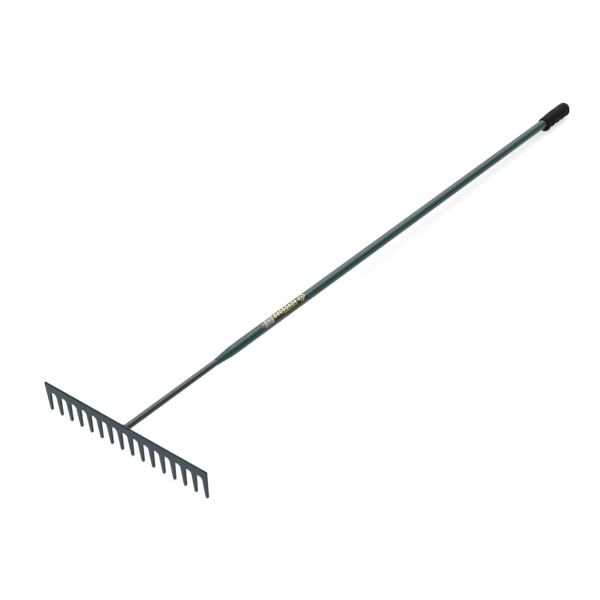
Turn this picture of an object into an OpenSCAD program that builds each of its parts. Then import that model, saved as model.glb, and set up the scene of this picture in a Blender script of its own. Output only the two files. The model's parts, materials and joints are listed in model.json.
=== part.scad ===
// Level-head garden rake, all steel: a sixteen-tooth plate head, a round neck
// bar welded to its back, a tube handle swaged down onto the neck, a wrap-round
// label film and a push-on finger grip.
//
// Units are millimetres. The rake lies ready for use on level ground: its tooth
// tips and the underside of its grip are at z = 0. +X runs along the head, +Y
// runs from the head towards the grip and +Z is up. The origin is on the
// ground, under the middle of the whole rake.

/* [Head] */
// Number of teeth on the head
tooth_count = 16; // [10:1:20]
// Distance from one tooth to the next, centre to centre
tooth_pitch = 27; // [24:0.5:32]
// Width of a tooth where it leaves the band
tooth_root_w = 11.4; // [9:0.1:14]
// Width of a tooth across its tip, before its corners are rounded
tooth_tip_w = 6.2; // [5.5:0.1:8]
// Corner radius of a tooth's tip
tip_corner_r = 2.5; // [1:0.1:2.6]
// Height of the head plate, from its top edge to the tooth tips
head_h = 75.4; // [60:0.1:95]
// Height of the solid band, from the top edge to the top of the tooth gaps
band_h = 20; // [18:0.5:26]
// Thickness of the head plate
plate_t = 4.5; // [3:0.1:6]
// How far the plate runs past the root of each end tooth
end_margin = 1.3; // [0.5:0.1:4]
// How far an end tooth's outer edge has moved in at its tip
end_taper = 3.4; // [0:0.1:4]
// Lean of the teeth towards the grip, from square to the handle, in degrees
head_lean = 9.3; // [5:0.1:14]

/* [Neck] */
// Diameter of the neck bar
neck_d = 14; // [12:0.5:16]
// Depth of the neck's centre line below the head's top edge
neck_drop = 9.2; // [8.5:0.1:10]
// Length of the neck in sight, from the head to the mouth of the tube
neck_len = 286.5; // [200:0.5:350]
// Diameter of the turned spigot that goes inside the tube
spigot_d = 11.8; // [10:0.1:11.9]
// Length of the turned spigot
spigot_len = 20; // [10:1:40]
// Bevel of the bar's end for the head weld
weld_prep = 3; // [2:0.1:4]
// Width of the head weld on the plate, past the bar
weld_leg = 2.4; // [1.5:0.1:2.4]

/* [Handle tube] */
// Outside diameter of the tube
tube_d = 22; // [20:0.5:25]
// Wall thickness of the tube
tube_wall = 1.5; // [1:0.1:2]
// Outside diameter of the swaged mouth
mouth_d = 14.7; // [14.4:0.1:16]
// Length of the straight cone of the swage
swage_cone_len = 38; // [25:1:60]
// Diameter at the wide end of that cone, where the shoulder starts
swage_cone_d = 20.7; // [18:0.1:21.5]
// Length of the shoulder that blends the cone into the tube
swage_blend_len = 20; // [10:1:30]

/* [Label] */
// Distance from the head to the near end of the label film
label_start = 430; // [380:1:600]
// Length of the label film along the tube
label_len = 152; // [60:1:200]
// Thickness of the label film
label_t = 0.06; // [0.05:0.01:0.08]

/* [Grip] */
// Distance from the head to the mouth of the grip
grip_start = 1586; // [1400:1:1700]
// Length of the grip from its mouth to its closed end
grip_len = 118.5; // [116:0.5:140]
// Diameter of the grip's barrel at its mouth
grip_mouth_d = 27.6; // [27:0.1:30]
// Diameter of the grip's barrel where the palm lies
grip_d = 32.2; // [31:0.1:34]
// Length over which the barrel grows from its mouth to its full size
grip_taper_len = 50; // [30:1:60]
// Diameter of the pad that carries the finger ridges
pad_d = 30.8; // [29:0.1:32]
// How far the pad's centre is below the tube's centre
pad_drop = 2.3; // [1:0.1:3]
// Number of finger ridges behind the guard
ridge_count = 4; // [2:1:4]
// Distance from one finger ridge to the next
ridge_pitch = 23.5; // [20:0.5:24]
// Distance from the grip's mouth to the first finger ridge
ridge_first = 32.5; // [28:0.5:34]
// Thickness of one finger ridge
ridge_t = 9; // [7:0.5:11]
// Diameter of one finger ridge
ridge_d = 34.8; // [33.5:0.1:36]
// How far a finger ridge's centre is below the tube's centre
ridge_drop = 3.2; // [2:0.1:5]
// Distance from the grip's mouth to the middle of the finger guard
guard_at = 10; // [8:0.5:14]
// Thickness of the finger guard
guard_t = 9; // [7:0.5:12]
// Diameter of the finger guard
guard_d = 33.2; // [32:0.1:36]
// How far the guard's centre is below the tube's centre
guard_drop = 7.2; // [4:0.1:8]

/* [Hidden] */
$fn = 96;

steel_green = [0.24, 0.33, 0.34];
film_brown = [0.16, 0.14, 0.12];
pvc_black = [0.10, 0.10, 0.11];

// Head plate: v is measured down the plate from its top edge.
gap_r = (tooth_pitch - tooth_root_w) / 2;          // round top of a tooth gap
root_v = band_h + gap_r;                           // where the straight teeth start
first_x = -(tooth_count - 1) * tooth_pitch / 2;    // centre of the first tooth
half_w = -first_x + tooth_root_w / 2 + end_margin; // half of the head's width
tip_steps = 6;                                     // sides in the round of one tip corner

// Neck, measured along the handle from the plate's front top edge.
neck_v = (neck_drop + plate_t * sin(head_lean)) / cos(head_lean); // where its axis meets the plate's back
neck_y = neck_v * sin(head_lean) + plate_t * cos(head_lean);      // the same point, along the handle
neck_r = neck_d / 2;
prep_end = neck_y + neck_r * tan(head_lean) + weld_prep;          // end of the bevel
ring_w = 2;                                                       // width of the socket weld

// Tube
tube_r = tube_d / 2;
bore_r = tube_r - tube_wall;
cone_end = neck_len + swage_cone_len;
swage_end = cone_end + swage_blend_len;
tube_end = grip_start + grip_len - 6;

// Grip
grip_r = grip_d / 2;
dome_y = grip_start + grip_len - grip_r;           // centre of the round end
groove_w = 1.6;                                    // rolled groove that the grip's lip sits in
groove_t = 0.4;
last_ridge_y = grip_start + ridge_first + (ridge_count - 1) * ridge_pitch;

// Slope of the handle: the tooth tips and the grip's lowest ridge share the ground.
function slope_for(y, depth) = atan((head_h * cos(head_lean) - neck_drop - depth) / (y - head_h * sin(head_lean)));
slope = min(slope_for(grip_start + guard_at, guard_d / 2 + guard_drop),
            slope_for(last_ridge_y, ridge_d / 2 + ridge_drop));
lean = head_lean - slope;                          // lean of the teeth from upright
ground_z = head_h * cos(lean) - neck_drop * cos(slope);
front_y = neck_drop * sin(slope);                  // the head's foremost edge
back_y = dome_y * cos(slope) + grip_r;             // the grip's rearmost point
centre_y = (front_y + back_y) / 2;

// Places a child drawn with the handle's centre line on +Y and its top at +Z.
module on_handle() {
    translate([0, -centre_y, ground_z]) rotate([-slope, 0, 0]) children();
}

// Places a child drawn on the plate: x along the head, -y down the plate,
// 0 to plate_t in z through the plate from its back face to its front.
module on_plate() {
    translate([0, 0, neck_drop]) rotate([90 + head_lean, 0, 0]) translate([0, 0, -plate_t]) children();
}

// Taper angle of a tooth side that runs from x0 at depth v0 to x1 at the tip.
// out is +1 on a right-hand side and -1 on a left-hand one.
function side_a(x0, v0, x1, out) = atan(out * (x0 - x1) / (head_h - v0));

// Points round one tip corner, from the side to the bottom edge.
function corner(x0, v0, x1, out) =
    let (a = side_a(x0, v0, x1, out),
         cx = x1 + out * tip_corner_r * (tan(a) - 1 / cos(a)),
         cv = head_h - tip_corner_r)
    [for (k = [0 : tip_steps]) let (t = (90 - a) * (1 - k / tip_steps))
        [cx + out * tip_corner_r * sin(t), -cv - tip_corner_r * cos(t)]];

function reversed(p) = [for (k = [len(p) - 1 : -1 : 0]) p[k]];

// Points of an inner tooth, from its right root to its left root.
function tooth(x) = concat(
    [[x + tooth_root_w / 2, -root_v]],
    corner(x + tooth_root_w / 2, root_v, x + tooth_tip_w / 2, 1),
    reversed(corner(x - tooth_root_w / 2, root_v, x - tooth_tip_w / 2, -1)),
    [[x - tooth_root_w / 2, -root_v]]);

// Points of an end tooth, from the head's top corner to the inner root. out is
// +1 at the right-hand end and -1 at the left-hand end.
function end_tooth(out) = let (inner = out * (-first_x - tooth_root_w / 2)) concat(
    [[out * half_w, 0]],
    corner(out * half_w, 0, out * (half_w - end_taper), out),
    reversed(corner(inner, root_v, out * (half_w - end_taper - tooth_tip_w), -out)),
    [[inner, -root_v]]);

module head_outline() {
    difference() {
        polygon(concat(
            end_tooth(1),
            [for (i = [tooth_count - 2 : -1 : 1], p = tooth(first_x + i * tooth_pitch)) p],
            reversed(end_tooth(-1))));
        for (i = [0 : tooth_count - 2])
            translate([first_x + (i + 0.5) * tooth_pitch, -root_v]) circle(r = gap_r);
    }
}

module rake_head() {
    color(steel_green) on_handle() on_plate() linear_extrude(plate_t) head_outline();
}

// Cuts away everything in front of the plate's back face.
module behind_plate() {
    difference() {
        children();
        on_plate() translate([-40, -60, 0]) cube([80, 100, 40]);
    }
}

// The bar's outline in section: bevelled for the head weld, plain in sight,
// stepped down to a spigot inside the tube.
module neck_bar() {
    rotate([-90, 0, 0]) rotate_extrude() polygon([
        [0, 0], [neck_r - weld_prep * 0.8, 0], [neck_r - weld_prep * 0.8, prep_end - weld_prep],
        [neck_r, prep_end], [neck_r, neck_len - ring_w],
        [spigot_d / 2, neck_len], [spigot_d / 2, neck_len + spigot_len - 1],
        [spigot_d / 2 - 1, neck_len + spigot_len], [0, neck_len + spigot_len]]);
}

module neck_rod() {
    color(steel_green) on_handle() behind_plate() neck_bar();
}

// The weld fills the bevel and runs out onto the plate as a sloping bead.
module head_weld() {
    color(steel_green) on_handle() difference() {
        behind_plate() rotate([-90, 0, 0]) rotate_extrude() polygon([
            [0, 0], [neck_r + weld_leg, 0], [neck_r + weld_leg, neck_y + 0.6],
            [neck_r, prep_end], [0, prep_end]]);
        neck_bar();
    }
}

// Ring weld that closes the step between the neck bar and the tube's mouth.
module socket_weld() {
    color(steel_green) on_handle() rotate([-90, 0, 0]) rotate_extrude() polygon([
        [neck_r, neck_len - ring_w], [mouth_d / 2 + 0.1, neck_len - ring_w * 0.4],
        [mouth_d / 2, neck_len], [spigot_d / 2, neck_len]]);
}

module handle_tube() {
    color(steel_green) on_handle() rotate([-90, 0, 0]) rotate_extrude() difference() {
        polygon([
            [spigot_d / 2, neck_len], [mouth_d / 2, neck_len], [swage_cone_d / 2, cone_end],
            [(swage_cone_d / 2 * 0.42 + tube_r * 0.58), cone_end + swage_blend_len * 0.35],
            [(swage_cone_d / 2 * 0.13 + tube_r * 0.87), cone_end + swage_blend_len * 0.7],
            [tube_r, swage_end],
            [tube_r, tube_end], [bore_r, tube_end], [bore_r, swage_end],
            [swage_cone_d / 2 - tube_wall, cone_end], [spigot_d / 2, neck_len + 8]]);
        translate([tube_r - groove_t, grip_start]) square([2, groove_w]);
    }
}

module label() {
    color(film_brown) on_handle() rotate([-90, 0, 0]) difference() {
        translate([0, 0, label_start]) cylinder(r = tube_r + label_t, h = label_len);
        translate([0, 0, label_start - 1]) cylinder(r = tube_r, h = label_len + 2);
    }
}

// A disc with a round rim, square to the handle, its middle at y.
module ridge(y, d, t, drop) {
    translate([0, y, -drop]) rotate([-90, 0, 0]) rotate_extrude() intersection() {
        union() {
            translate([0, -t / 2]) square([d / 2 - t / 2, t]);
            translate([d / 2 - t / 2, 0]) circle(r = t / 2);
        }
        translate([0, -t]) square([d, 2 * t]);
    }
}

// The soft body: a barrel with a domed end, and below it the pad, the finger
// guard and the finger ridges.
module grip_body() {
    rotate([-90, 0, 0]) rotate_extrude() polygon([
        [0, grip_start], [grip_mouth_d / 2 - 0.8, grip_start], [grip_mouth_d / 2, grip_start + 0.8],
        [grip_r, grip_start + grip_taper_len], [grip_r, dome_y], [0, dome_y]]);
    translate([0, dome_y, 0]) sphere(r = grip_r);
    translate([0, grip_start + guard_at, -pad_drop]) rotate([-90, 0, 0])
        cylinder(d = pad_d, h = last_ridge_y - grip_start - guard_at);
    ridge(grip_start + guard_at, guard_d, guard_t, guard_drop);
    for (i = [0 : ridge_count - 1])
        ridge(grip_start + ridge_first + i * ridge_pitch, ridge_d, ridge_t, ridge_drop);
}

// The socket in the grip, which is the tube's own outline.
module grip_socket() {
    rotate([-90, 0, 0]) rotate_extrude() difference() {
        translate([0, grip_start - 20]) square([tube_r, tube_end - grip_start + 20]);
        translate([tube_r - groove_t, grip_start]) square([2, groove_w]);
    }
}

module grip() {
    color(pvc_black) on_handle() difference() {
        grip_body();
        grip_socket();
    }
}

rake_head();
head_weld();
neck_rod();
socket_weld();
handle_tube();
label();
grip();
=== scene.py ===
import json
import math

import bmesh
import bpy
from mathutils import Euler, Matrix, Vector


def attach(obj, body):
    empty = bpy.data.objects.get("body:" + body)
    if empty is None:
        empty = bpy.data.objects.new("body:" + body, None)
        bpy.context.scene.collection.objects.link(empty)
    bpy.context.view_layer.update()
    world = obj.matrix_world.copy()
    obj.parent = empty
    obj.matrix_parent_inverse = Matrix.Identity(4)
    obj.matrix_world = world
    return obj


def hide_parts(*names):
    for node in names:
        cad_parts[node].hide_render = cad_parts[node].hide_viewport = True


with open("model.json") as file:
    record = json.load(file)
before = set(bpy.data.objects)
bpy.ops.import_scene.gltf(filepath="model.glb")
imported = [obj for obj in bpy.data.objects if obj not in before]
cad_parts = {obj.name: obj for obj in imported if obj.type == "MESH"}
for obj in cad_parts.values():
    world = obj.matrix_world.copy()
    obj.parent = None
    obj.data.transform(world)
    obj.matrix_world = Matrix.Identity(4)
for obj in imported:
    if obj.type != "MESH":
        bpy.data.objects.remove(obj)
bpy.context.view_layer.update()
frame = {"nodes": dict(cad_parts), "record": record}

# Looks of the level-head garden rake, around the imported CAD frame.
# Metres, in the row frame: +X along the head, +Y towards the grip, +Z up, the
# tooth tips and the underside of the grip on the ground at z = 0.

nodes = frame["nodes"]
record = frame["record"]
mounts = {m["name"]: m for m in record["mounts"]}

# ---------------------------------------------------------------- dimensions
# Millimetres, the same design sizes as the CAD.
TEETH, PITCH = 16, 27.0
ROOT_W, TIP_W, TIP_R = 11.4, 6.2, 2.5
HEAD_H, BAND_H, PLATE_T = 75.4, 20.0, 4.5
END_MARGIN, END_TAPER = 1.3, 3.4
LEAN = math.radians(9.3)
NECK_R, NECK_DROP, NECK_LEN = 7.0, 9.2, 286.5
SPIGOT_R, SPIGOT_LEN = 5.9, 20.0
TUBE_R, TUBE_WALL = 11.0, 1.5
MOUTH_R, CONE_END, CONE_R, SWAGE_END = 7.35, 324.5, 10.35, 344.5
LABEL_Y, LABEL_L, LABEL_T = 430.0, 152.0, 0.06
GRIP_Y, GRIP_L, GRIP_R, GRIP_MOUTH_R = 1586.0, 118.5, 16.1, 13.8
DOME_Y = GRIP_Y + GRIP_L - GRIP_R

GAP_R = (PITCH - ROOT_W) / 2
ROOT_V = BAND_H + GAP_R
FIRST_X = -(TEETH - 1) * PITCH / 2
HALF_W = -FIRST_X + ROOT_W / 2 + END_MARGIN
NECK_V = (NECK_DROP + PLATE_T * math.sin(LEAN)) / math.cos(LEAN)
NECK_Y = NECK_V * math.sin(LEAN) + PLATE_T * math.cos(LEAN)
PREP_END = NECK_Y + NECK_R * math.tan(LEAN) + 3.0

# ---------------------------------------------------------------- the handle's frame
# The tool-clip seat is a point on the handle's axis, and its axis points to the head.
seat = mounts["tool_clip_seat"]
AY = -Vector(seat["axis"]).normalized()
AX = Vector((1.0, 0.0, 0.0))
AZ = AX.cross(AY).normalized()
SEAT_Y = (SWAGE_END + GRIP_Y) / 2
ORIGIN = Vector(seat["pos_m"]) - AY * (SEAT_Y / 1000)


def on_handle(x, y, z):
    """A point in the handle's frame, in mm, as a row-frame point in metres."""
    return ORIGIN + (AX * x + AY * y + AZ * z) * 0.001


def on_plate(u, v, w):
    """A point on the head plate, in mm: u along it, v down it, w from its front face to its back."""
    c, s = math.cos(LEAN), math.sin(LEAN)
    return on_handle(u, v * s + w * c, NECK_DROP - v * c + w * s)


# ---------------------------------------------------------------- camera and light
scene = bpy.context.scene
cam_data = bpy.data.cameras.new("camera")
cam_data.lens = 104.975
cam_data.sensor_width = 36.0
cam_data.clip_start, cam_data.clip_end = 0.05, 100.0
cam = bpy.data.objects.new("camera", cam_data)
cam.location = (1.76093, -2.72018, 2.31678)
cam.rotation_euler = Euler((0.924858, -0.034142, 0.651762), "XYZ")
scene.collection.objects.link(cam)
scene.camera = cam
scene.view_settings.view_transform = "Standard"
scene.view_settings.look = "None"


# ---------------------------------------------------------------- node helpers
def new_material(name):
    m = bpy.data.materials.new(name)
    m.use_nodes = True
    m.node_tree.nodes.clear()
    return m


class Graph:
    """Short ways to make and link shader nodes."""

    def __init__(self, material):
        self.t = material.node_tree
        self.n = self.t.nodes

    def add(self, kind, **props):
        node = self.n.new(kind)
        for k, v in props.items():
            setattr(node, k, v)
        return node

    def link(self, a, b):
        self.t.links.new(a, b)

    def put(self, socket, value):
        if hasattr(value, "is_output") or isinstance(value, bpy.types.NodeSocket):
            self.link(value, socket)
        else:
            socket.default_value = value

    def math(self, op, a, b=0.0, c=0.0, clamp=False):
        node = self.add("ShaderNodeMath", operation=op, use_clamp=clamp)
        for s, v in zip(node.inputs, (a, b, c)):
            self.put(s, v)
        return node.outputs[0]

    def noise(self, vector, scale, detail=2.0, rough=0.5, distortion=0.0):
        node = self.add("ShaderNodeTexNoise")
        self.link(vector, node.inputs["Vector"])
        node.inputs["Scale"].default_value = scale
        node.inputs["Detail"].default_value = detail
        node.inputs["Roughness"].default_value = rough
        node.inputs["Distortion"].default_value = distortion
        return node.outputs["Fac"]

    def remap(self, value, a, b, c, d, smooth=False):
        node = self.add("ShaderNodeMapRange", interpolation_type="SMOOTHSTEP" if smooth else "LINEAR")
        self.put(node.inputs["Value"], value)
        for k, v in zip(("From Min", "From Max", "To Min", "To Max"), (a, b, c, d)):
            self.put(node.inputs[k], v)
        return node.outputs["Result"]

    def mix(self, fac, a, b, blend="MIX"):
        node = self.add("ShaderNodeMix", data_type="RGBA", blend_type=blend)
        self.put(node.inputs[0], fac)
        self.put(node.inputs[6], a if not isinstance(a, tuple) else (*a, 1.0))
        self.put(node.inputs[7], b if not isinstance(b, tuple) else (*b, 1.0))
        return node.outputs[2]

    def bump(self, height, distance, strength=1.0, normal=None):
        node = self.add("ShaderNodeBump")
        self.put(node.inputs["Height"], height)
        node.inputs["Distance"].default_value = distance
        node.inputs["Strength"].default_value = strength
        if normal is not None:
            self.link(normal, node.inputs["Normal"])
        return node.outputs["Normal"]

    def shader(self, **values):
        node = self.add("ShaderNodeBsdfPrincipled")
        for k, v in values.items():
            key = k.replace("_", " ")
            self.put(node.inputs[key], (*v, 1.0) if isinstance(v, tuple) and len(v) == 3 else v)
        out = self.add("ShaderNodeOutputMaterial")
        self.link(node.outputs[0], out.inputs["Surface"])
        return node


def enamel(name, tint, peel=1.0, base_rough=0.24, shine=1.0, worn_low=False, painted_corner_highlight=False):
    """Blue-green stove enamel: faint mottling, orange peel, fine dust nibs and small rubs; on request, a painted
    highlight line along the plate's rear top corner.
    """
    m = new_material(name)
    g = Graph(m)
    co = g.add("ShaderNodeTexCoord").outputs["Object"]
    broad = g.noise(co, 9.0, 3.0, 0.55)
    fine = g.noise(co, 260.0, 3.0, 0.6)
    dark = tuple(c * 0.84 for c in tint)
    light = tuple(c * 1.18 + 0.001 for c in tint)
    base = g.mix(g.remap(broad, 0.3, 0.7, 0.0, 1.0), dark, light)
    base = g.mix(g.remap(fine, 0.45, 0.75, 0.0, 0.25), base, tuple(c * 1.5 + 0.004 for c in tint))
    rough = g.math("ADD", g.remap(broad, 0.3, 0.7, base_rough - 0.03, base_rough + 0.03), g.remap(fine, 0.3, 0.7, -0.02, 0.03))
    if worn_low:
        # tooth tips: a little dull, with a few fine rubs, where they meet the ground
        z = g.add("ShaderNodeSeparateXYZ")
        g.link(co, z.inputs[0])
        low = g.remap(z.outputs[2], 0.001, 0.016, 1.0, 0.0, smooth=True)
        scuff = g.math("MULTIPLY", low, g.remap(g.noise(co, 420.0, 4.0, 0.65), 0.52, 0.62, 0.0, 1.0, smooth=True))
        base = g.mix(g.math("MULTIPLY", scuff, 0.22), base, (0.10, 0.11, 0.11))
        rough = g.math("ADD", rough, g.math("MULTIPLY", low, 0.12))
    if painted_corner_highlight:
        # painted highlight: a light line along the top edge's rear corner, standing in for the key light caught by the
        # rounded corner; less at the -X end
        def along(axis):
            dot = g.add("ShaderNodeVectorMath", operation="DOT_PRODUCT")
            g.link(co, dot.inputs[0])
            dot.inputs[1].default_value = axis
            return dot.outputs["Value"]

        corner_at = on_plate(0, 0, PLATE_T)
        through = (on_plate(0, 0, 1) - on_plate(0, 0, 0)).normalized()
        down = (on_plate(0, 1, 0) - on_plate(0, 0, 0)).normalized()
        near = g.remap(along(through), corner_at.dot(through) - 0.0020, corner_at.dot(through) - 0.0011, 0.0, 1.0, smooth=True)
        near = g.math("MULTIPLY", near, g.remap(along(down), corner_at.dot(down) + 0.0006, corner_at.dot(down) + 0.0016, 1.0, 0.0, smooth=True))
        near = g.math("MULTIPLY", near, g.remap(along(AX), -0.13, -0.03, 0.0, 1.0, smooth=True))
        near = g.math("MULTIPLY", near, g.remap(g.noise(co, 60.0, 4.0, 0.6), 0.34, 0.56, 0.35, 1.0, smooth=True))
        base = g.mix(g.math("MULTIPLY", near, 0.70), base, (0.20, 0.22, 0.23))
    peel_h = g.math("ADD", g.math("MULTIPLY", g.noise(co, 520.0, 2.0, 0.5), 0.75), g.math("MULTIPLY", g.noise(co, 150.0, 1.0, 0.4), 0.6))
    normal = g.bump(peel_h, 0.00002 * peel, 0.8)
    g.shader(Base_Color=base, Roughness=rough, Normal=normal, Metallic=0.0, Specular_IOR_Level=0.13 * shine,
             Coat_Weight=0.22 * shine, Coat_Roughness=0.09, Coat_IOR=1.5)
    return m


# ---------------------------------------------------------------- mesh helpers
def finish_mesh(name, bm, material, body="root", sharp=38.0):
    bmesh.ops.remove_doubles(bm, verts=bm.verts, dist=1e-7)
    bmesh.ops.recalc_face_normals(bm, faces=bm.faces)
    limit = math.radians(sharp)
    for f in bm.faces:
        f.smooth = True
    for e in bm.edges:
        if len(e.link_faces) == 2 and e.calc_face_angle(0.0) > limit:
            e.smooth = False
    me = bpy.data.meshes.new(name)
    bm.to_mesh(me)
    bm.free()
    ob = bpy.data.objects.new(name, me)
    scene.collection.objects.link(ob)
    me.materials.append(material)
    return ob


def lathe(name, profile, segments, material, closed=False, sharp=38.0, radius_at=None):
    """A turned solid on the handle's axis. profile is (y, r) in mm, and a point with r = 0 is a pole.
    closed joins the last point to the first, for a hollow part. UVs are mm along the profile and mm round it."""
    bm = bmesh.new()
    uv = bm.loops.layers.uv.new("UVMap")
    rings = []
    for y, r in profile:
        if r <= 0:
            rings.append([bm.verts.new(on_handle(0, y, 0))])
            continue
        ring = []
        for k in range(segments):
            a = 2 * math.pi * k / segments
            rr = r if radius_at is None else radius_at(y, r, a)
            ring.append(bm.verts.new(on_handle(rr * math.sin(a), y, rr * math.cos(a))))
        rings.append(ring)
    along = [0.0]
    for (y0, r0), (y1, r1) in zip(profile, profile[1:]):
        along.append(along[-1] + math.hypot(y1 - y0, r1 - r0))
    pairs = list(zip(range(len(profile) - 1), range(1, len(profile))))
    if closed:
        pairs.append((len(profile) - 1, 0))
    for i, j in pairs:
        a, b = rings[i], rings[j]
        for k in range(segments):
            n = (k + 1) % segments
            if len(a) == 1 and len(b) == 1:
                break
            if len(a) == 1:
                vs, us = [a[0], b[k], b[n]], [(along[i], k + 0.5), (along[j], k), (along[j], k + 1)]
            elif len(b) == 1:
                vs, us = [a[k], b[0], a[n]], [(along[i], k), (along[j], k + 0.5), (along[i], k + 1)]
            else:
                vs, us = [a[k], b[k], b[n], a[n]], [(along[i], k), (along[j], k), (along[j], k + 1), (along[i], k + 1)]
            f = bm.faces.new(vs)
            for loop, (s, t) in zip(f.loops, us):
                loop[uv].uv = (s, t / segments * 2 * math.pi * TUBE_R)
    return finish_mesh(name, bm, material, sharp=sharp)


def arc(cx, cy, r, a0, a1, n):
    """Points of an arc, in (y, r) order for a profile. Angles in degrees."""
    return [(cx + r * math.cos(math.radians(a0 + (a1 - a0) * k / n)),
             cy + r * math.sin(math.radians(a0 + (a1 - a0) * k / n))) for k in range(n + 1)]


# ---------------------------------------------------------------- head plate
def corner(x0, v0, x1, out, n=10):
    a = math.atan(out * (x0 - x1) / (HEAD_H - v0))
    cx = x1 + out * TIP_R * (math.tan(a) - 1 / math.cos(a))
    cv = HEAD_H - TIP_R
    pts = []
    for k in range(n + 1):
        t = (math.pi / 2 - a) * (1 - k / n)
        pts.append((cx + out * TIP_R * math.sin(t), cv + TIP_R * math.cos(t)))
    return pts


def head_outline():
    """The plate's outline as (u, v) points, v down, from the top left corner clockwise seen from the front."""
    pts = [(-HALF_W, 0.0)]
    pts += [(-HALF_W + (2 * HALF_W) * k / 60, 0.0) for k in range(1, 60)]
    pts += [(HALF_W, 0.0)]
    for i in range(TEETH - 1, -1, -1):
        x = FIRST_X + i * PITCH
        r0, rv, r1 = x + ROOT_W / 2, ROOT_V, x + TIP_W / 2
        l0, lv, l1 = x - ROOT_W / 2, ROOT_V, x - TIP_W / 2
        if i == TEETH - 1:
            r0, rv, r1 = HALF_W, 0.0, HALF_W - END_TAPER
            l1 = r1 - TIP_W
        if i == 0:
            l0, lv, l1 = -HALF_W, 0.0, -HALF_W + END_TAPER
            r1 = l1 + TIP_W
        pts += corner(r0, rv, r1, 1)
        pts += list(reversed(corner(l0, lv, l1, -1)))
        if i > 0:
            c = x - PITCH / 2
            pts += [(c + GAP_R * math.cos(math.radians(a)), ROOT_V - GAP_R * math.sin(math.radians(a))) for a in range(0, 181, 9)]
    return pts


def make_head(material, cut_edge_and_shade_material):
    bm = bmesh.new()
    outline = head_outline()
    front = [bm.verts.new(on_plate(u, v, 0.0)) for u, v in outline]
    back = [bm.verts.new(on_plate(u, v, PLATE_T)) for u, v in outline]
    bm.faces.new(front)
    bm.faces.new(list(reversed(back)))
    n = len(outline)
    for k in range(n):
        j = (k + 1) % n
        # the side faces take the second slot: a darker, less glossy enamel, painted shade for faces turned from the
        # light
        bm.faces.new([front[j], front[k], back[k], back[j]]).material_index = 1
    ob = finish_mesh("head_plate", bm, material, sharp=40)
    ob.data.materials.append(cut_edge_and_shade_material)
    bev = ob.modifiers.new("edges", "BEVEL")
    bev.width, bev.segments, bev.limit_method, bev.angle_limit = 0.0006, 3, "ANGLE", math.radians(40)
    bev.material = 0
    return ob


# ---------------------------------------------------------------- grip
def grip_radius(y, a):
    """Distance from the tube's axis to the grip's skin at y, where a is the angle from straight down."""
    def off(r, d):
        s = d * math.sin(a)
        return d * math.cos(a) + math.sqrt(max(r * r - s * s, 0.0))

    def smax(p, q, k):
        h = max(k - abs(p - q), 0.0) / k
        return max(p, q) + h * h * k * 0.25

    def disc(r, thick, drop, mid, rim):
        """A round-rimmed disc on an axis below the tube's, as a radius at y, or 0 away from it."""
        d = abs(y - mid)
        if d >= thick / 2:
            return 0.0
        flat = thick / 2 - rim
        edge = rim - math.sqrt(max(rim * rim - max(d - flat, 0.0) ** 2, 0.0))
        return off(r - edge, drop)

    t = min(max((y - GRIP_Y) / 50.0, 0.0), 1.0)
    out = GRIP_MOUTH_R + (GRIP_R - GRIP_MOUTH_R) * t
    if y > DOME_Y:
        q = min((y - DOME_Y) / GRIP_R, 1.0)
        out = out * math.sqrt(max(1 - q * q, 0.0))
    # finger side: a pad under the barrel, with a guard at the mouth and four ridges
    last = GRIP_Y + 32.5 + 3 * 23.5
    if y < last:
        lead = min(max((y - GRIP_Y - 2.0) / 6.0, 0.0), 1.0)
        out = smax(out, off(14.0 + 1.0 * lead, 1.8 * lead), 0.8)
    out = smax(out, disc(16.6, 9.0, 7.2, GRIP_Y + 10.0, 1.4), 0.7)
    for i in range(4):
        out = smax(out, disc(17.4, 7.8, 3.2, GRIP_Y + 32.5 + i * 23.5, 2.2), 0.6)
    return out


def make_grip(material):
    seg = 144
    bm = bmesh.new()
    rings = []

    def ring(y, fn):
        vs = []
        for k in range(seg):
            a = 2 * math.pi * k / seg
            r = fn(a)
            vs.append(bm.verts.new(on_handle(r * math.sin(a), y, -r * math.cos(a))))
        rings.append(vs)

    # inside: the blind end of the socket, its wall, then the mouth and the outer skin
    tube_end = GRIP_Y + GRIP_L - 6.0
    for r in (2.0, 6.0, 9.0, 11.0):
        ring(tube_end, lambda a, r=r: r)
    for k in range(1, 12):
        ring(tube_end + (GRIP_Y + 1.2 - tube_end) * k / 11, lambda a: 11.02)
    ring(GRIP_Y + 0.5, lambda a: 11.25)
    ring(GRIP_Y + 0.12, lambda a: 11.8)
    ring(GRIP_Y, lambda a: 12.4)
    for k in range(0, 7):
        t = math.radians(90 * k / 6)
        ring(GRIP_Y + 1.0 - math.cos(t) * 1.0, lambda a, t=t: grip_radius(GRIP_Y + 1.0, a) - 1.0 + math.sin(t) * 1.0)
    y = GRIP_Y + 1.5
    while y < DOME_Y:
        ring(y, lambda a, y=y: grip_radius(y, a))
        y += 0.5
    for k in range(0, 44):
        yy = DOME_Y + GRIP_R * math.sin(math.radians(90 * k / 44))
        ring(yy, lambda a, yy=yy: max(grip_radius(yy, a), 0.02))
    for i in range(len(rings) - 1):
        for k in range(seg):
            n = (k + 1) % seg
            bm.faces.new([rings[i][k], rings[i + 1][k], rings[i + 1][n], rings[i][n]])
    bm.faces.new(rings[0])
    tip = bm.verts.new(on_handle(0, GRIP_Y + GRIP_L, 0))
    for k in range(seg):
        bm.faces.new([rings[-1][k], tip, rings[-1][(k + 1) % seg]])
    return finish_mesh("grip_moulding", bm, material, sharp=60)


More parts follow.
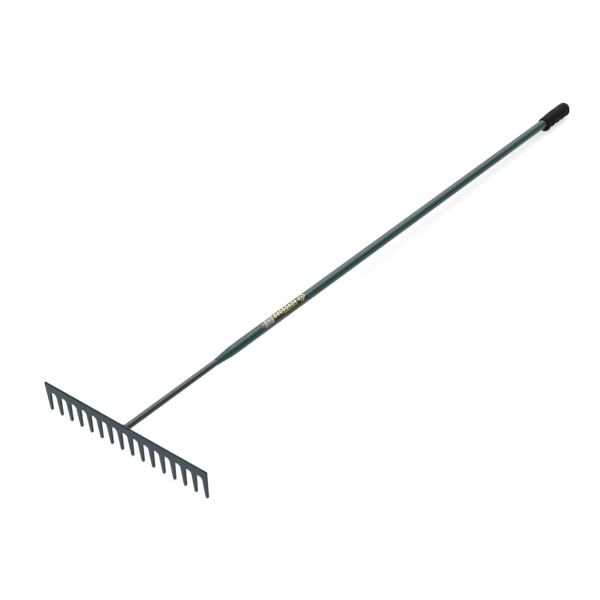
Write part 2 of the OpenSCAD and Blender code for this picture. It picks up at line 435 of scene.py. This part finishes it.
def pvc(name):
    """Matt black soft PVC with a fine moulded stipple."""
    m = new_material(name)
    g = Graph(m)
    co = g.add("ShaderNodeTexCoord").outputs["Object"]
    broad = g.noise(co, 30.0, 3.0, 0.5)
    cells = g.add("ShaderNodeTexVoronoi", feature="F1")
    g.link(co, cells.inputs["Vector"])
    cells.inputs["Scale"].default_value = 900.0
    dots = g.remap(cells.outputs["Distance"], 0.0, 0.6, 1.0, 0.0, smooth=True)
    base = g.mix(g.remap(broad, 0.3, 0.7, 0.0, 1.0), (0.0032, 0.0032, 0.0036), (0.0058, 0.0056, 0.0056))
    base = g.mix(g.math("MULTIPLY", dots, 0.30), base, (0.014, 0.0135, 0.013))
    rough = g.math("ADD", g.remap(broad, 0.3, 0.7, 0.52, 0.60), g.math("MULTIPLY", dots, 0.05))
    normal = g.bump(dots, 0.00010, 0.7)
    normal = g.bump(g.noise(co, 2400.0, 2.0, 0.6), 0.00003, 0.6, normal)
    g.shader(Base_Color=base, Roughness=rough, Normal=normal, Specular_IOR_Level=0.05)
    return m


# ---------------------------------------------------------------- welds
def make_head_weld(material):
    """A rippled fillet bead round the neck, on the plate's back."""
    seg, steps = 180, 12
    bm = bmesh.new()
    rings = []
    for s in range(steps + 1):
        t = s / steps
        ring = []
        for k in range(seg):
            a = 2 * math.pi * k / seg
            ripple = math.sin(31 * a + 0.9 * math.sin(2 * a) - 2.6 * (t - 0.5) ** 2 * 4) * (0.11 + 0.03 * math.sin(5 * a)) * math.sin(math.pi * t) ** 0.6
            wander = 0.18 * math.sin(3 * a + 0.7) + 0.12 * math.sin(7 * a + 2.0)
            bulge = (0.75 + ripple + 0.4 * wander) * math.sin(math.pi * t)
            r = 9.15 + 0.25 * wander * (1 - t) + (7.0 - 9.15) * t
            x, z = r * math.sin(a), r * math.cos(a)
            y0 = NECK_Y - (9.15 + 0.25 * wander) * math.cos(a) * math.tan(LEAN)
            y = y0 + (PREP_END - 0.1 - y0) * t
            # push the middle of the bead out, square to its slope
            x += bulge * 0.8 * math.sin(a)
            z += bulge * 0.8 * math.cos(a)
            y += bulge * 0.45
            ring.append(bm.verts.new(on_handle(x, y, z)))
        rings.append(ring)
    inner = []
    for k in range(seg):
        a = 2 * math.pi * k / seg
        inner.append(bm.verts.new(on_handle(6.6 * math.sin(a), PREP_END - 0.3, 6.6 * math.cos(a))))
    rings.append(inner)
    low = []
    for k in range(seg):
        a = 2 * math.pi * k / seg
        low.append(bm.verts.new(on_handle(6.6 * math.sin(a), NECK_Y - 6.6 * math.cos(a) * math.tan(LEAN), 6.6 * math.cos(a))))
    rings.append(low)
    for i in range(len(rings)):
        p, q = rings[i], rings[(i + 1) % len(rings)]
        for k in range(seg):
            n = (k + 1) % seg
            bm.faces.new([p[k], q[k], q[n], p[n]])
    return finish_mesh("head_weld_bead", bm, material, sharp=70)


def make_socket_weld(material):
    prof = [(NECK_LEN - 2.0, 6.9)]
    for k in range(13):
        t = k / 12
        prof.append((NECK_LEN - 2.0 + 2.0 * t, 7.0 + 0.35 * t + 0.32 * math.sin(math.pi * t) ** 0.8))
    prof += [(NECK_LEN, 6.9)]

    def wobble(y, r, a):
        if r < 6.95:
            return r
        k = math.sin(math.pi * min(max((y - NECK_LEN + 2.0) / 2.0, 0), 1))
        return r + k * (0.026 * math.sin(37 * a + 0.8 * math.sin(3 * a)) + 0.035 * math.sin(3 * a + 1.0))

    return lathe("socket_weld_bead", prof, 204, material, closed=True, sharp=50, radius_at=wobble)


# ---------------------------------------------------------------- tube and neck
def swage(y):
    """Outer radius of the tube at y."""
    if y <= CONE_END:
        return MOUTH_R + (CONE_R - MOUTH_R) * (y - NECK_LEN) / (CONE_END - NECK_LEN)
    if y >= SWAGE_END:
        return TUBE_R
    t = (y - CONE_END) / (SWAGE_END - CONE_END)
    slope = (CONE_R - MOUTH_R) / (CONE_END - NECK_LEN) * (SWAGE_END - CONE_END)
    d = TUBE_R - CONE_R
    # cubic with the cone's slope at its start and none at its end
    return CONE_R + (slope - 0.0) * t + (3 * d - 2 * slope) * t * t + (slope - 2 * d) * t ** 3


def make_tube(material):
    outer = [(NECK_LEN, SPIGOT_R + 0.2), (NECK_LEN, MOUTH_R - 0.25)]
    outer += [(NECK_LEN + 0.08, MOUTH_R - 0.07), (NECK_LEN + 0.3, MOUTH_R + 0.02)]
    y = NECK_LEN + 2
    while y < SWAGE_END:
        outer.append((y, swage(y)))
        y += 2.0
    for k in range(64):
        outer.append((SWAGE_END + (GRIP_Y + GRIP_L - 6.4 - SWAGE_END) * k / 63, TUBE_R))
    end = GRIP_Y + GRIP_L - 6.0
    outer += [(end - 0.1, TUBE_R - 0.12), (end, TUBE_R - 0.4), (end, TUBE_R - TUBE_WALL + 0.2)]
    inner = [(end - 0.2, TUBE_R - TUBE_WALL), (SWAGE_END, TUBE_R - TUBE_WALL), (CONE_END, CONE_R - TUBE_WALL), (NECK_LEN + 8, SPIGOT_R + 0.2)]
    return lathe("tube_skin", outer + inner, 128, material, closed=True, sharp=45)


def make_neck(material):
    prof = [(PREP_END - 3.0, 0.0), (PREP_END - 3.0, 4.6), (PREP_END, NECK_R)]
    n = 60
    for k in range(1, n):
        prof.append((PREP_END + (NECK_LEN - 2.0 - PREP_END) * k / n, NECK_R))
    prof += [(NECK_LEN - 2.0, NECK_R), (NECK_LEN, SPIGOT_R), (NECK_LEN + SPIGOT_LEN - 1, SPIGOT_R), (NECK_LEN + SPIGOT_LEN, SPIGOT_R - 1), (NECK_LEN + SPIGOT_LEN, 0.0)]
    return lathe("neck_bar", prof, 112, material, sharp=35)


# ---------------------------------------------------------------- label
def label_film(name):
    """Dark printed film under a clear coat, with plain gold and silver shapes.
    UV is mm along the handle (x) and mm round it (y), with the handle's top at y = 0."""
    m = new_material(name)
    g = Graph(m)
    uvn = g.add("ShaderNodeUVMap", uv_map="UVMap")
    sep = g.add("ShaderNodeSeparateXYZ")
    g.link(uvn.outputs[0], sep.inputs[0])
    co = g.add("ShaderNodeTexCoord").outputs["Object"]
    full = 2 * math.pi * TUBE_R
    s = sep.outputs[0]
    # round the handle: 0 on top, positive towards +X
    v = g.math("SUBTRACT", sep.outputs[1], g.math("MULTIPLY", g.math("GREATER_THAN", sep.outputs[1], full / 2), full))
    v = g.math("SUBTRACT", v, PRINT_TURN)
    # the print leans like italics
    s = g.math("ADD", s, g.math("MULTIPLY", v, 0.40))

    def edge(d, soft=0.06):
        """1 inside a shape whose signed distance is d mm, 0 outside."""
        return g.remap(d, -soft, soft, 1.0, 0.0, smooth=True)

    def rect(s0, s1, v0, v1):
        ds = g.math("SUBTRACT", g.math("ABSOLUTE", g.math("SUBTRACT", s, (s0 + s1) / 2)), (s1 - s0) / 2)
        dv = g.math("SUBTRACT", g.math("ABSOLUTE", g.math("SUBTRACT", v, (v0 + v1) / 2)), (v1 - v0) / 2)
        return g.math("MAXIMUM", ds, dv)

    def lozenge(sc, vc, a, b):
        p = g.math("DIVIDE", g.math("ABSOLUTE", g.math("SUBTRACT", s, sc)), a)
        q = g.math("DIVIDE", g.math("ABSOLUTE", g.math("SUBTRACT", v, vc)), b)
        return g.math("MULTIPLY", g.math("SUBTRACT", g.math("ADD", p, q), 1.0), min(a, b) * 0.7)

    def chevron(sc, vc, half, thick, lean):
        # a bar bent to a V: distance from a line whose s moves with |v|
        sh = g.math("ADD", s, g.math("MULTIPLY", g.math("ABSOLUTE", g.math("SUBTRACT", v, vc)), lean))
        ds = g.math("SUBTRACT", g.math("ABSOLUTE", g.math("SUBTRACT", sh, sc)), thick / 2)
        dv = g.math("SUBTRACT", g.math("ABSOLUTE", g.math("SUBTRACT", v, vc)), half)
        return g.math("MAXIMUM", ds, dv)

    def union(*ds):
        out = ds[0]
        for d in ds[1:]:
            out = g.math("MINIMUM", out, d)
        return out

    def cut(a, b):
        return g.math("MAXIMUM", a, g.math("MULTIPLY", b, -1.0))

    gold = (0.40, 0.33, 0.12)
    dim_gold = (0.20, 0.18, 0.07)
    cream = (0.54, 0.52, 0.31)
    silver = (0.175, 0.175, 0.20)
    film = g.mix(g.remap(g.noise(co, 40.0, 2.0), 0.3, 0.7, 0.0, 1.0), (0.0100, 0.0090, 0.0050), (0.0150, 0.0135, 0.0080))
    # the film's ground fades to grey on its +X side
    film = g.mix(g.remap(v, 3.0, 13.0, 0.0, 1.0), film, (0.030, 0.029, 0.027))
    # near the head: a thin hollow frame, a cream rule, a silver panel with fine lines, a cream rule
    frame_d = cut(rect(2.6, 11.2, -7.0, 6.0), rect(3.7, 10.1, -5.6, 4.6))
    col = g.mix(edge(frame_d), film, dim_gold)
    col = g.mix(edge(rect(5.4, 8.4, -3.2, 2.2)), col, dim_gold)
    col = g.mix(edge(union(rect(12.7, 14.9, -11.0, 8.6), rect(36.2, 38.4, -11.0, 8.6))), col, cream)
    panel = rect(16.0, 35.0, -12.0, 8.0)
    col = g.mix(edge(panel), col, silver)
    line_s = g.math("ABSOLUTE", g.math("SUBTRACT", g.math("FRACT", g.math("DIVIDE", v, 3.2)), 0.5))
    lines = g.math("MAXIMUM", panel, g.math("SUBTRACT", g.math("MULTIPLY", line_s, 3.2), 0.40))
    lines = g.math("MAXIMUM", lines, rect(18.2, 32.8, -9.0, 5.6))
    col = g.mix(edge(lines), col, (0.10, 0.10, 0.12))
    col = g.mix(edge(lozenge(25.5, -1.5, 5.6, 6.0)), col, (0.07, 0.07, 0.08))
    col = g.mix(edge(lozenge(25.5, -1.5, 3.0, 3.4)), col, (0.36, 0.36, 0.40))
    # middle: a row of plain lozenges, hollow and solid by turns
    row = []
    x = 47.6
    for k in range(8):
        if k % 2 == 0:
            row.append(cut(lozenge(x, -1.9, 5.8, 6.0), lozenge(x, -1.9, 2.5, 2.7)))
        else:
            row.append(lozenge(x, -1.9, 3.6, 6.0))
        x += 9.9
    shapes = union(*row)
    tone = g.mix(g.remap(v, -5.0, 4.0, 0.0, 1.0), cream, gold)
    col = g.mix(edge(shapes), col, tone)
    # a thin gold rule beside the row, and nested chevrons at the far end
    rule = rect(74.0, 121.0, 4.9, 5.9)
    col = g.mix(edge(rule), col, gold)
    emblem = chevron(149.0, -1.5, 9.4, 3.2, 1.0)
    emblem2 = chevron(141.6, -1.5, 7.6, 2.6, 1.0)
    dot = lozenge(130.0, -1.5, 4.4, 4.4)
    col = g.mix(edge(union(emblem, emblem2, dot)), col, g.mix(g.remap(v, -6.0, 5.0, 0.0, 1.0), cream, gold))
    scratch = g.noise(co, 700.0, 3.0, 0.6)
    rough = g.remap(scratch, 0.3, 0.7, 0.22, 0.32)
    normal = g.bump(g.noise(co, 300.0, 2.0), 0.00001, 0.6)
    g.shader(Base_Color=col, Roughness=rough, Normal=normal, Specular_IOR_Level=0.18, Coat_Weight=0.28, Coat_Roughness=0.16)
    return m


PRINT_TURN = 3.0  # mm round the tube, from its top towards +X


def make_label(material):
    outer = TUBE_R + LABEL_T
    prof = [(LABEL_Y, TUBE_R - 0.01), (LABEL_Y, outer)]
    for k in range(1, 38):
        prof.append((LABEL_Y + LABEL_L * k / 38, outer))
    prof += [(LABEL_Y + LABEL_L, outer), (LABEL_Y + LABEL_L, TUBE_R - 0.01)]
    return lathe("label_film", prof, 128, material, closed=True, sharp=40)


# ---------------------------------------------------------------- build
paint = enamel("enamel_tube", (0.0070, 0.036, 0.036), base_rough=0.18, shine=0.95)
paint_neck = enamel("enamel_neck", (0.0090, 0.025, 0.0265), base_rough=0.18, shine=1.35)
# the head's paints carry a painted highlight line along the plate's rear top corner
paint_head = enamel("enamel_head", (0.0042, 0.023, 0.032), worn_low=True, base_rough=0.2, shine=0.76, painted_corner_highlight=True)
# the plate's side faces: the cut edges' own rougher, peelier paint, plus a darker tint with less shine as painted
# shade, since these faces turn away from the light
cut_edge_and_shade_paint = enamel("enamel_cut_edge_painted_shade", (0.0034, 0.0125, 0.0150), peel=2.5, base_rough=0.34, shine=0.34, worn_low=True, painted_corner_highlight=True)
paint_weld = enamel("enamel_weld", (0.0060, 0.018, 0.021), peel=1.8, base_rough=0.28)
rubber = pvc("grip_pvc")
film = label_film("label_print")

head = make_head(paint_head, cut_edge_and_shade_paint)
neck = make_neck(paint_neck)
tube = make_tube(paint)
bead = make_head_weld(paint_weld)
ring = make_socket_weld(paint_weld)
label = make_label(film)
grip = make_grip(rubber)

for piece, node, slot_name in (
    (head, "rake_head", "enamel"),
    (neck, "neck_rod", "enamel"),
    (tube, "handle_tube", "enamel"),
    (bead, "head_weld", "enamel"),
    (ring, "socket_weld", "enamel"),
    (label, "label", "label_film"),
    (grip, "grip", "grip_pvc"),
):
    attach(piece, "root")
    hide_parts(node)

# ---------------------------------------------------------------- floor and lights
bm = bmesh.new()
bmesh.ops.create_grid(bm, x_segments=2, y_segments=2, size=30.0)
floor_mesh = bpy.data.meshes.new("floor")
bm.to_mesh(floor_mesh)
bm.free()
floor = bpy.data.objects.new("floor", floor_mesh)
scene.collection.objects.link(floor)
floor_mat = new_material("floor_pale")
fg = Graph(floor_mat)
fco = fg.add("ShaderNodeTexCoord").outputs["Object"]
ftone = fg.mix(fg.noise(fco, 0.6, 2.0), (0.32, 0.32, 0.32), (0.34, 0.34, 0.34))
# a light table: pale acrylic, lit evenly from below, so the shadows on it stay faint
fg.shader(Base_Color=ftone, Roughness=0.9, Specular_IOR_Level=0.1, Emission_Color=(1.0, 1.0, 1.0), Emission_Strength=0.60)
floor_mesh.materials.append(floor_mat)

world = bpy.data.worlds.new("studio")
scene.world = world
world.use_nodes = True
wg = Graph(world)
wg.n.clear()
wco = wg.add("ShaderNodeTexCoord").outputs["Generated"]
KEY = Vector((-0.26, 0.66, 0.70)).normalized()
FILL = Vector((0.10, -0.74, 0.66)).normalized()
wsep = wg.add("ShaderNodeSeparateXYZ")
wg.link(wco, wsep.inputs[0])
wx, wy, wz = wsep.outputs


def lobe(axis, sharpness):
    """A soft round patch of light: exp(sharpness * (cos(angle) - 1))."""
    dot = wg.add("ShaderNodeVectorMath", operation="DOT_PRODUCT")
    wg.link(wco, dot.inputs[0])
    dot.inputs[1].default_value = axis
    return wg.math("POWER", 2.718281828, wg.math("MULTIPLY", wg.math("SUBTRACT", dot.outputs["Value"], 1.0), sharpness))


# key: a broad softbox behind and to the left, ending before the zenith; the room's right side is dim
key_light = wg.math("MULTIPLY", lobe(KEY, 5.0), wg.remap(wy, 0.36, 0.58, 0.0, 1.0, smooth=True))
key_light = wg.math("MULTIPLY", key_light, wg.remap(wx, 0.20, 0.58, 1.0, 0.0, smooth=True))
key_light = wg.math("MULTIPLY", key_light, wg.remap(wx, -0.75, -0.40, 0.50, 1.0, smooth=True))
key_light = wg.math("MULTIPLY", key_light, wg.remap(wy, 0.69, 0.81, 1.0, 0.56, smooth=True))
fill_light = lobe(FILL, 2.6)
room = wg.remap(wx, 0.20, 0.60, 0.46, 0.10, smooth=True)
room = wg.math("MULTIPLY", room, wg.remap(wz, 0.0, 0.35, 0.55, 1.0, smooth=True))
strength = wg.math("ADD", wg.math("MULTIPLY", key_light, 4.5), wg.math("ADD", wg.math("MULTIPLY", fill_light, 2.3), room))
# the pale backdrop curves up a little way past the floor's edge
strength = wg.math("MAXIMUM", strength, wg.remap(wz, 0.035, 0.10, 1.02, 0.0, smooth=True))
bg = wg.add("ShaderNodeBackground")
bg.inputs["Color"].default_value = (1.0, 1.0, 1.0, 1.0)
wg.link(strength, bg.inputs["Strength"])
wo = wg.add("ShaderNodeOutputWorld")
wg.link(bg.outputs[0], wo.inputs["Surface"])


def area(name, location, target, size, power):
    data = bpy.data.lights.new(name, "AREA")
    data.shape, data.size, data.energy = "SQUARE", size, power
    ob = bpy.data.objects.new(name, data)
    ob.location = location
    ob.rotation_euler = (Vector(target) - Vector(location)).to_track_quat("-Z", "Y").to_euler()
    scene.collection.objects.link(ob)
    return ob


area("key", KEY * 3.4, (0, 0, 0), 2.0, 10)
